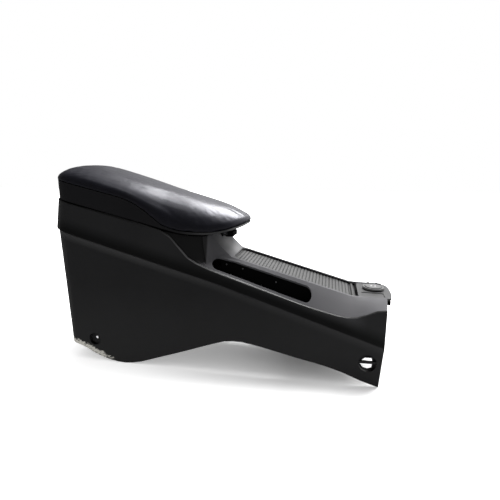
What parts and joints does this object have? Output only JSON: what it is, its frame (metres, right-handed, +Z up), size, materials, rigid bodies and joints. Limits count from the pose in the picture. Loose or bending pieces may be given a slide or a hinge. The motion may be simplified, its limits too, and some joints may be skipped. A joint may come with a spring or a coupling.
{
  "type": "center console",
  "caption": "Car center console: moulded shell and deck, ribbed cover sliding over cup holders, brake lever slot, outlet with cap, and hinged padded armrest over a storage bin.",
  "frame": {"origin": "middle of the overall box in plan, on the surface that the shell's lowest edges stand on", "axes": "+X to the front of the car along the console, +Y to the left of the car, +Z up; the brake lever slot is on the -Y side"},
  "size_m": [0.704, 0.204, 0.4205],
  "materials": {
    "shell": "matte",
    "deck": "satin",
    "trim": "satin",
    "cover": "satin",
    "inner_plastic": "matte",
    "armrest_plastic": "matte",
    "leathercloth": "satin",
    "rubber": "matte",
    "steel": "satin"
  },
  "bodies": {
    "console": {"console_body": "shell", "deck_panel": "deck", "front_trim_panel": "trim", "blank_plate": "trim", "tambour_guide_near": "inner_plastic", "tambour_guide_far": "inner_plastic", "cup_holder_well": "inner_plastic", "storage_bin": "inner_plastic", "front_clip_1": "inner_plastic", "front_clip_2": "inner_plastic", "outlet_socket": "inner_plastic", "cup_mat_1": "rubber", "cup_mat_2": "rubber", "bin_mat": "rubber", "lid_bumper_1": "rubber", "lid_bumper_2": "rubber", "lid_bumper_3": "rubber", "lid_bumper_4": "rubber", "hinge_bracket": "steel", "lid_hinge_pin": "steel", "latch_keeper": "steel", "outlet_cap_pin": "steel", "bracket_screw_1": "steel", "bracket_screw_2": "steel", "well_screw_1": "steel", "well_screw_2": "steel", "well_screw_3": "steel", "well_screw_4": "steel", "well_screw_5": "steel", "well_screw_6": "steel", "well_screw_7": "steel", "well_screw_8": "steel", "well_screw_9": "steel", "well_screw_10": "steel"},
    "armrest": {"armrest_base": "armrest_plastic", "armrest_inner_panel": "inner_plastic", "armrest_pad": "leathercloth", "lid_hinge_arm": "steel", "arm_screw_1": "steel", "arm_screw_2": "steel", "latch_pin": "steel", "latch_spring": "steel"},
    "latch": {"latch_paddle": "inner_plastic"},
    "cover": {"tambour_handle": "cover", "tambour_curtain": "cover"},
    "cap": {"outlet_cap": "trim"}
  },
  "joints": [
    {"name": "armrest_hinge", "type": "hinge", "parent": "console", "child": "armrest", "pos_m": [-0.346, 0, 0.3535], "axis": [0, -1, 0], "range_deg": [0, 85]},
    {"name": "latch_pivot", "type": "hinge", "parent": "armrest", "child": "latch", "pos_m": [0.006, 0, 0.279], "axis": [0, -1, 0], "range_deg": [0, 14], "stiffness_Nm_per_rad": 0.05, "springref_deg": -17.19, "deforming": ["latch_spring"]},
    {"name": "cover_slide", "type": "slide", "parent": "console", "child": "cover", "axis": [-0.9613, 0, 0.2756], "range_m": [0, 0.19], "deforming": ["tambour_curtain"]},
    {"name": "outlet_cap_hinge", "type": "hinge", "parent": "console", "child": "cap", "pos_m": [0.31813, 0.0378, 0.16855], "axis": [-0.9995, 0, 0.0314], "range_deg": [0, 100]}
  ]
}
